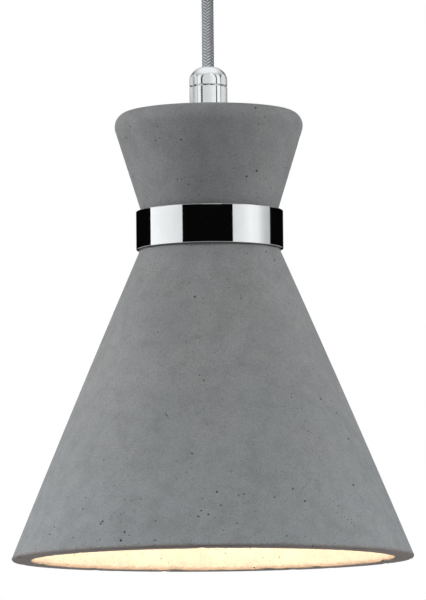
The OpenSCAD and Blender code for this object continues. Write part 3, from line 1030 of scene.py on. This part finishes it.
def make_core(name, node, points, sheath):
    """An insulated core whose last few millimetres are stripped to the copper."""
    strip = 3 * MM
    *places, last, end = [Vector(p) * MM for p in points]
    stripped = end + (last - end).normalized() * strip
    cover = tube(name, places + [last, stripped], CORE_R * MM, sheath)
    hidden = stripped - (stripped - last).normalized() * MM
    bare = tube(name + "_copper", [hidden, stripped, end], COPPER_R * MM, COPPER, 12)
    stand_for(joined(name, cover, bare), node)


def ceiling_core(side):
    return [(0, side * 1.4, -16), (0, side * 1.4, -15.2), (-0.3, side * 1.8, -13.6), (-1, side * 2.6, -11.5),
            (-2.4, side * 3.7, -9.4), (-4.2, side * 4.5, -7.9), (-6, side * 4.8, -7.2), (-8, side * 4.8, -7),
            (-12, side * 4.8, -7)]


def holder_core_wire(side):
    route = [(1.4, 192), (1.4, 191.2), (1.8, 189.8), (3.2, 188.1), (5.2, 186.8), (7.2, 186), (9.8, 186)]
    return [(side * out, 0, RIM_Z / MM + height) for out, height in route]


eased("ceiling_bracket", "pressed_bracket", ZINC, 0.25)
make_canopy()
eased("canopy_screws", "cup_screws", SATIN_CHROME, 0.2)
eased("terminal_block", "terminal_housing", TERMINAL, 0.3)
eased("terminal_sleeves", "terminal_barrels", BRASS, 0.08)
eased("terminal_screws", "terminal_pins", NICKEL, 0.08)
ring_piece("cup_washer", "ceiling_washer", RUBBER)
threaded("cup_nipple", "ceiling_nipple")
eased("ceiling_lock_nut", "cup_nut", ZINC, 0.35)
make_insert("ceiling_grip_seal", "ceiling_grip_insert", CEILING_SEAT, True)
make_core("ceiling_brown_wire", "ceiling_core_brown", ceiling_core(-1), BROWN)
make_core("ceiling_blue_wire", "ceiling_core_blue", ceiling_core(1), BLUE)

# --- Inside the shade: tube, washers, band tape and lampholder ---
make_insert("shade_grip_seal", "grip_insert", GRIP_SEAT, False)
ring_piece("shade_top_washer", "top_washer", RUBBER)
threaded("shade_tube", "threaded_tube")
ring_piece("shade_load_washer", "load_washer", ZINC, 5.2, 20, 0.3)
eased("lock_nut", "shade_lock_nut", ZINC, 0.35)
eased("band_tape", "band_foam_tape", FOAM, 0.15)


def make_holder():
    """Corners are (radius, height above the rim, rounding)."""
    cap = rounded([(5, 203.5, 0.3), (8, 203.5, 0.8), (8, 196, 0.6), (10, 194.5, 0.6), (17.5, 190, 1.5),
                   (20.5, 187, 1.2), (20.5, 176, 0.5), (18.5, 176, 0.4), (18.5, 186, 0.8), (16.5, 188, 0.8),
                   (9, 192.4, 0.4), (6.5, 193, 0.4), (5, 194.5, 0.2)], 4)
    stand_for(even_shading(lathe("lampholder_cap", cap, RIM_Z, HOLDER, 96, crease=50)), "holder_cap")
    sleeve = rounded([(13.5, 141, 0.3), (20.5, 141, 0.9), (20.5, 175.7, 0.4), (18.3, 175.7, 0.2),
                      (18.3, 186, 0.4), (16.3, 186, 0.3), (16.3, 171.1, 0.2), (13.5, 171.1, 0.2)], 4)
    ribs = 36
    base = RIM_Z / MM
    skirt = lathe("lampholder_sleeve", fine(sleeve, 142, 175, EDISON_PITCH / 10), RIM_Z, HOLDER, ribs * 8,
                  crease=50)
    grow(skirt, FLUTES, Count=ribs, Rise=0.0, Depth=0.5, Low=base + 145, High=base + 171, Inside=20.4,
         Run=1.2)
    grow(skirt, FLUTES, Rise=1 / EDISON_PITCH, Depth=-0.8, Low=base + 142.5, High=base + 168, Outside=13.6,
         Run=1.5)
    stand_for(smooth(skirt, 50), "holder_sleeve")
    eased("holder_core", "lampholder_core", CERAMIC, 0.35)
    eased("centre_contact", "lampholder_centre_spring", BRASS, 0.1)
    eased("side_contact", "lampholder_side_contact", BRASS, 0.06)
    eased("holder_screws", "lampholder_screws", BRASS, 0.12)


make_holder()
make_core("shade_brown_wire", "holder_wire_brown", holder_core_wire(-1), BROWN)
make_core("shade_blue_wire", "holder_wire_blue", holder_core_wire(1), BLUE)


# --- Bulb: depths are measured down from the tip of its contact ---
CAP_R = 12.9
CAP_LENGTH = 27.0
GLOBE_R = 30.0
GLOBE_DEPTH = 74.0
GLASS = 0.8


def globe_wall(inset):
    """The bulb's glass from its neck to its lower end, as (radius, depth), inset from the outside."""
    r = GLOBE_R - inset
    neck = CAP_R - 0.7 - inset
    shoulder = CAP_LENGTH + 4
    line = [(neck, CAP_LENGTH - 1.5), (neck, CAP_LENGTH + 1)]
    for i in range(1, 20):
        t = i / 20
        line.append((neck + (r - neck) * t * t * (3 - 2 * t), shoulder + (GLOBE_DEPTH - shoulder) * t))
    line += arc(0, GLOBE_DEPTH, r, 0, 90, 24)
    return line[:-1] + [(0, line[-1][1])]


def bulb_turned(name, outline, node, material, sides):
    return stand_for(lathe(name, outline, PIP_Z, material, sides, down=True), node)


def bulb_strips():
    """Four lit strips that lean out from the stem, each on a support and between two pins."""
    strip_r, pin_r, support_r = 0.9 * MM, 0.45 * MM, 0.35 * MM
    length = 34
    lean = math.radians(12)
    strips = []
    for turn in (45, 135, 225, 315):
        a = math.radians(turn)

        def spot(r, depth):
            return (r * MM * math.cos(a), r * MM * math.sin(a), PIP_Z - depth * MM)

        ends = [spot(6.5 + length * part * math.sin(lean), 52 + length * part * math.cos(lean))
                for part in (0, 0.05, 0.95, 1)]
        strips.append(tube("strip", ends[1:3], strip_r, FILAMENT, 14, 16))
        strips.append(tube("pin", ends[:2], pin_r, NICKEL, 10))
        strips.append(tube("pin", ends[2:], pin_r, NICKEL, 10))
        strips.append(tube("support", [spot(2.8, 50.8), spot(4.8, 51.4), spot(6.7, 52.1)], support_r, NICKEL,
                           10))
    return joined("bulb_lit_strips", *strips)


def make_bulb():
    """Corners are (radius, depth below the contact's tip, rounding)."""
    pip_r = 2.4
    pip = [(0, 1.3)] + arc(0, pip_r, pip_r, -27, -90, 10)[:-1] + [(0, 0)]
    bulb_turned("bulb_solder_pip", pip, "bulb_pip", NICKEL, 40)
    cone = rounded([(0, 1.35, 0), (4.6, 1.35, 0.4), (9.2, 4.35, 0.3), (0, 4.35, 0)], 4)
    bulb_turned("bulb_glass_insulator", cone, "bulb_insulator", BLACK_GLASS, 56)
    inside = CAP_R - 0.65
    rolled = CAP_LENGTH - 0.1
    cap = [(0, 4.4), (9.6, 4.4), (12.5, 6.6), (CAP_R, 7.4), (CAP_R, CAP_LENGTH - 0.8), (CAP_R - 0.2, rolled),
           (inside, rolled), (inside, 8), (0, 8)]
    screw = lathe("bulb_screw_cap", fine(cap, 7.4, CAP_LENGTH - 1, EDISON_PITCH / 12), PIP_Z, ALUMINIUM, 80,
                  down=True)
    tip = PIP_Z / MM
    grow(screw, FLUTES, Rise=1 / EDISON_PITCH, Depth=0.9, Low=tip - 24, High=tip - 7.5, Inside=CAP_R - 0.1,
         Run=1.6)
    stand_for(smooth(screw, 50), "bulb_cap")
    shell = globe_wall(0) + globe_wall(GLASS)[::-1]
    globe = bulb_turned("bulb_globe", shell, "bulb_envelope", BULB_GLASS, 96)
    flare = rounded([(0, 8.1, 0), (9, 8.1, 0.4), (9, 28, 3), (4, 33, 3), (2.2, 42, 4), (2.6, 52, 0.8),
                     (0, 53.5, 0)], 6)
    stem = bulb_turned("bulb_glass_stem", flare, "bulb_stem", STEM_GLASS, 48)
    for glass in (globe, stem):
        glass.visible_shadow = False
    stand_for(bulb_strips(), "bulb_filaments")


make_bulb()


# --- Studio ---
LAMP_DISTANCE = 1.3
FLOOR_Z = -1.6
FLOOR_HALF = 9


def place_round(azimuth, distance, height):
    """A point round the light: azimuth 0 is in front, and 90 to the right."""
    a = math.radians(azimuth)
    return Vector((math.sin(a) * distance, -math.cos(a) * distance, height))


def face_axis(thing, height):
    thing.rotation_mode = "QUATERNION"
    thing.rotation_quaternion = (Vector((0, 0, height)) - thing.location).to_track_quat("-Z", "Y")


def light_only(lamp, pieces, state):
    """Keeps a lamp to some pieces, or away from them."""
    group = bpy.data.collections.new(lamp.name + "_pieces")
    for piece in pieces:
        group.objects.link(piece)
    for entry in group.collection_objects:
        entry.light_linking.link_state = state
    lamp.light_linking.receiver_collection = group


def new_lamp(name, kind, power):
    """A lamp that lights the object and isn't seen itself."""
    lamp = placed(name, bpy.data.lights.new(name, kind))
    lamp.data.energy = power
    lamp.visible_camera = False
    lamp.visible_glossy = False
    return lamp


def soft_light(name, azimuth, height, width, tall, power):
    """A soft box to one side, aimed a little below the rim."""
    lamp = new_lamp(name, "AREA", power)
    lamp.data.shape = "RECTANGLE"
    lamp.data.size = width
    lamp.data.size_y = tall
    lamp.data.spread = math.radians(40)
    lamp.location = place_round(azimuth, LAMP_DISTANCE, RIM_Z + height)
    face_axis(lamp, RIM_Z - 0.2)
    return lamp


def shining(name, shape, shine):
    """A surface that only shows in reflections, with its own brightness at each point."""
    mesh = mesh_from(name, shape)
    levels = mesh.attributes.new("shine", "FLOAT", "POINT")
    levels.data.foreach_set("value", shine)
    material = bpy.data.materials.new(name)
    material.use_nodes = True
    tree = material.node_tree
    tree.nodes.clear()
    level = add(tree, "ShaderNodeAttribute", attribute_name="shine").outputs["Fac"]
    glow = add(tree, "ShaderNodeEmission", {"Color": (0.955, 0.985, 1.0, 1), "Strength": level})
    put(tree, add(tree, "ShaderNodeOutputMaterial").inputs[0], glow.outputs[0])
    mesh.materials.append(material)
    piece = placed(name, mesh)
    for ray in ("camera", "diffuse", "shadow", "transmission"):
        setattr(piece, "visible_" + ray, False)


def between(stations, value):
    """The level at a value, from a list of (value, level) stations in rising order."""
    if value <= stations[0][0]:
        return stations[0][1]
    for (a, level_a), (b, level_b) in zip(stations, stations[1:]):
        if value <= b:
            return level_a + (level_b - level_a) * (value - a) / (b - a)
    return stations[-1][1]


def card(name, stations):
    """An upright curved card round the light, with its brightness given at each azimuth."""
    shape = bmesh.new()
    shine = []
    rows = []
    for z in (RIM_Z - 0.4, RIM_Z + 0.45):
        rows.append([shape.verts.new(place_round(a, 1.0, z)) for a, _ in stations])
        shine += [level for _, level in stations]
    for i in range(len(stations) - 1):
        shape.faces.new([rows[0][i], rows[0][i + 1], rows[1][i + 1], rows[1][i]])
    shining(name, shape, shine)


# Brightness of the cards and of the tent's sides at each azimuth, and of the tent's roof at each elevation
LEFT_CARD = [(-104.5, 1.15), (-90, 1.1), (-60, 0.96), (-42.5, 0.84)]
RIGHT_CARD = [(36, 0.82), (50, 0.9), (66, 1.08), (80, 1.0), (90, 0.75), (96, 0.64), (107, 0.55), (109, 0.03)]
TENT_SIDES = [(-180, 0.8), (-152, 0.8), (-147, 0.1), (-120, 0.1), (-116.4, 0.3), (-116, 0.8), (-113.2, 0.82),
              (-112.8, 0.2), (-111.6, 0.2), (-111.2, 0.98), (-104, 0.98), (-102, 0.3), (-76, 0.25),
              (-72, 0.95), (-47, 1.1), (-44, 0.04), (-14, 0.04), (-10, 0.73), (7.6, 0.79), (8.0, 1.08),
              (18, 1.1), (20, 0.04), (53, 0.03), (56, 1.1), (77, 1.05), (80, 0.15), (110, 0.2), (113, 0.9),
              (127.6, 0.85), (128.2, 0.05), (154, 0.03), (160, 0.7), (180, 0.8)]
TENT_ROOF = [(12, 0.8), (22, 0.62), (46, 0.7), (58, 1.0), (90, 1.05)]
TENT_BLEND = (26, 46)


def grip_tent():
    """A white tent round the cord grip, with the dark joints between its panels."""
    radius = 0.5
    centre = RIM_Z + 0.235
    sides_end, roof_start = TENT_BLEND
    turns = [-180 + 0.4 * i for i in range(900)]
    tilts = [1.7 + 3.1 * i for i in range(28)]
    shape = bmesh.new()
    shine = []
    rings = []
    for tilt in tilts:
        blend = min(max((tilt - sides_end) / (roof_start - sides_end), 0), 1)
        a = math.radians(tilt)
        rings.append([shape.verts.new(place_round(t, radius * math.cos(a), centre + radius * math.sin(a)))
                      for t in turns])
        shine += [between(TENT_SIDES, t) * (1 - blend) + between(TENT_ROOF, tilt) * blend for t in turns]
    rings.append([shape.verts.new((0, 0, centre + radius))])
    shine.append(between(TENT_ROOF, 90))
    skin_rings(shape, rings, closed=False)
    shining("grip_tent", shape, shine)


def make_world():
    """White behind the light, dark in reflections, and a soft fill everywhere else."""
    world = bpy.data.worlds.new("studio")
    bpy.context.scene.world = world
    world.use_nodes = True
    tree = world.node_tree
    tree.nodes.clear()
    path = add(tree, "ShaderNodeLightPath")
    soft, dark = (0.32, 0.323, 0.326, 1), (0.002, 0.002, 0.002, 1)
    fill = blend_colours(tree, path.outputs["Is Glossy Ray"], soft, dark)
    seen = blend_colours(tree, path.outputs["Is Camera Ray"], fill, (1, 1, 1, 1))
    backdrop = add(tree, "ShaderNodeBackground", {"Color": seen})
    put(tree, add(tree, "ShaderNodeOutputWorld").inputs[0], backdrop.outputs[0])


def make_floor():
    """A pale floor well below the light, clear from underneath so that it never hides it."""
    shape = bmesh.new()
    bmesh.ops.create_grid(shape, x_segments=1, y_segments=1, size=FLOOR_HALF)
    material, tree, shader = new_material("pale_floor", Roughness=0.9, Base_Color=(0.8, 0.8, 0.8, 1),
                                          Emission_Color=(1, 1, 1, 1))
    seen = Field(tree, add(tree, "ShaderNodeLightPath").outputs["Is Camera Ray"])
    feed(tree, shader, Emission_Strength=seen * 0.5 + 0.13)
    clear = add(tree, "ShaderNodeBsdfTransparent")
    side = add(tree, "ShaderNodeNewGeometry").outputs["Backfacing"]
    mixed = add(tree, "ShaderNodeMixShader", {0: side, 1: shader.outputs[0], 2: clear.outputs[0]})
    put(tree, tree.nodes["Material Output"].inputs[0], mixed.outputs[0])
    floor = new_piece("floor", shape, material)
    floor.location = (0, 0, FLOOR_Z)


def bulb_light(name, kind, power, size, depth):
    """A share of the lit bulb's own light, which moves with the bulb. Depth is taken from its solder pip."""
    lamp = new_lamp(name, kind, power)
    lamp.data.color = (1.0, 0.715, 0.44)
    if kind == "AREA":
        lamp.data.shape = "DISK"
        lamp.data.size = size
    else:
        lamp.data.shadow_soft_size = size
    lamp.location = (0, 0, PIP_Z - depth)
    lamp.visible_transmission = False
    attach(lamp, "bulb")


def clear_overhead():
    """Keeps the ceiling fitting out of the grip's reflections, because the cord above it is cut short."""
    middle = (CORD_LOW + CORD_HIGH) / 2
    for piece in bpy.data.objects:
        if piece.type == "MESH" and min(corner[2] for corner in piece.bound_box) > middle:
            piece.visible_glossy = False


clear_overhead()
make_world()
make_floor()
left_lamp = soft_light("left_softbox", -82, 0.42, 1.5, 0.8, 3.5)
right_lamp = soft_light("right_softbox", 72, 0.42, 1.5, 0.8, 2.6)
cord_lamp = soft_light("cord_softbox", -28, 0.3, 0.4, 0.4, 3.9)
for lamp, state in ((left_lamp, "EXCLUDE"), (right_lamp, "EXCLUDE"), (cord_lamp, "INCLUDE")):
    light_only(lamp, [hanging_cord, throat_cord], state)
card("left_card", LEFT_CARD)
card("right_card", RIGHT_CARD)
grip_tent()
bulb_light("bulb_glow", "POINT", 1.2, 0.02, 0.102)
bulb_light("bulb_downlight", "AREA", 1.02, 0.05, 0.106)
bpy.context.scene.view_settings.view_transform = "Standard"
